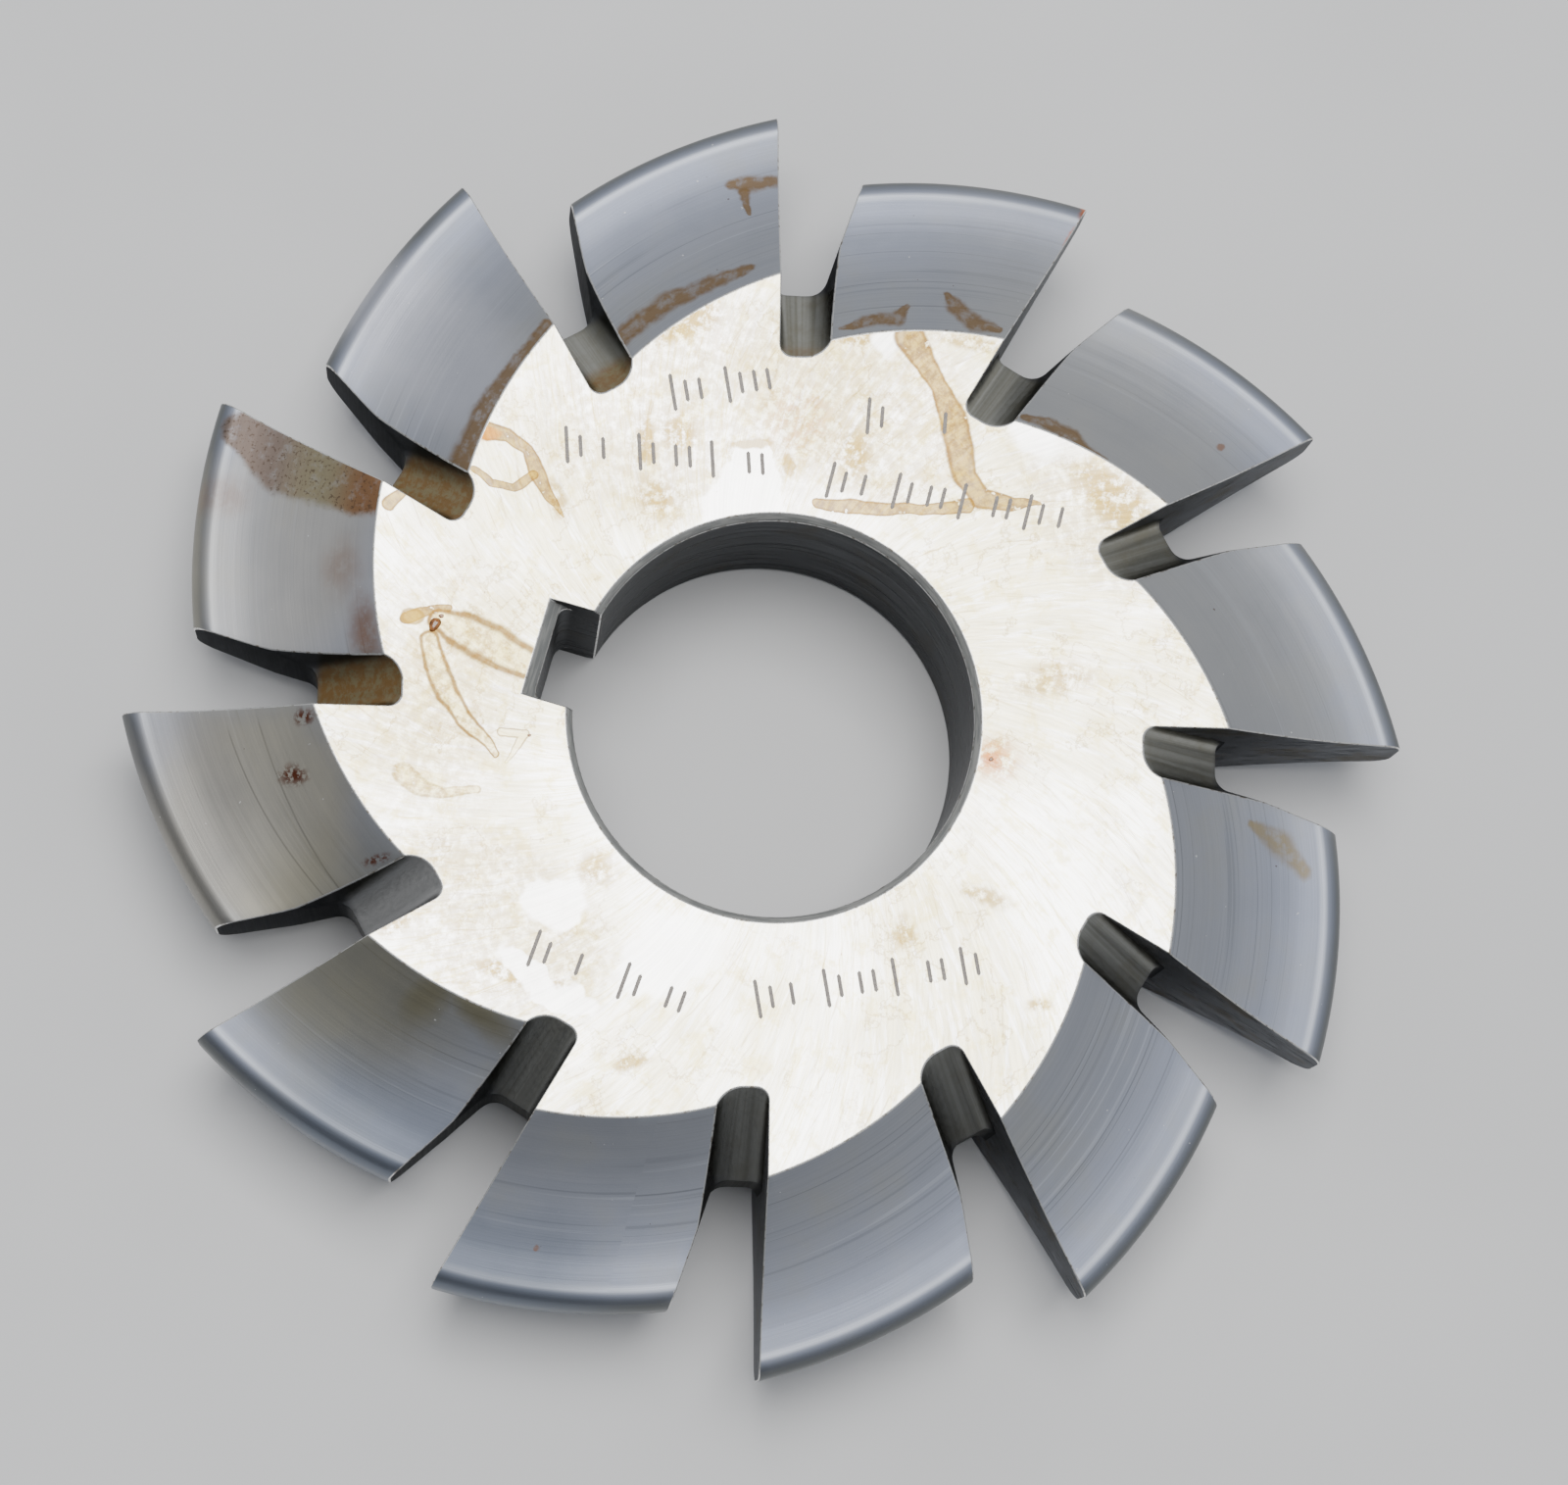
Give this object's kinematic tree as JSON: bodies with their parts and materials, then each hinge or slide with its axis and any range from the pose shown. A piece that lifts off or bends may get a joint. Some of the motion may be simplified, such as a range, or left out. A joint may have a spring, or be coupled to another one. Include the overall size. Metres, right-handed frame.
{
  "type": "involute gear cutter",
  "caption": "Form-relieved disc cutter with radial-faced teeth of involute profile, a plain bore and an internal keyway, for milling the tooth spaces of spur gears.",
  "frame": {"origin": "on the bore axis, half way through the thickness", "axes": "+Z along the bore axis, out of the face from which the cutter turns clockwise; +Y through the middle of the keyway"},
  "size_m": [0.1004, 0.1004, 0.0188],
  "materials": {
    "tool_steel": "ground faces, satin relieved flanks",
    "dried_oil": "thin glossy film"
  },
  "bodies": {
    "root": {"gear_cutter": "tool_steel"}
  },
  "joints": []
}
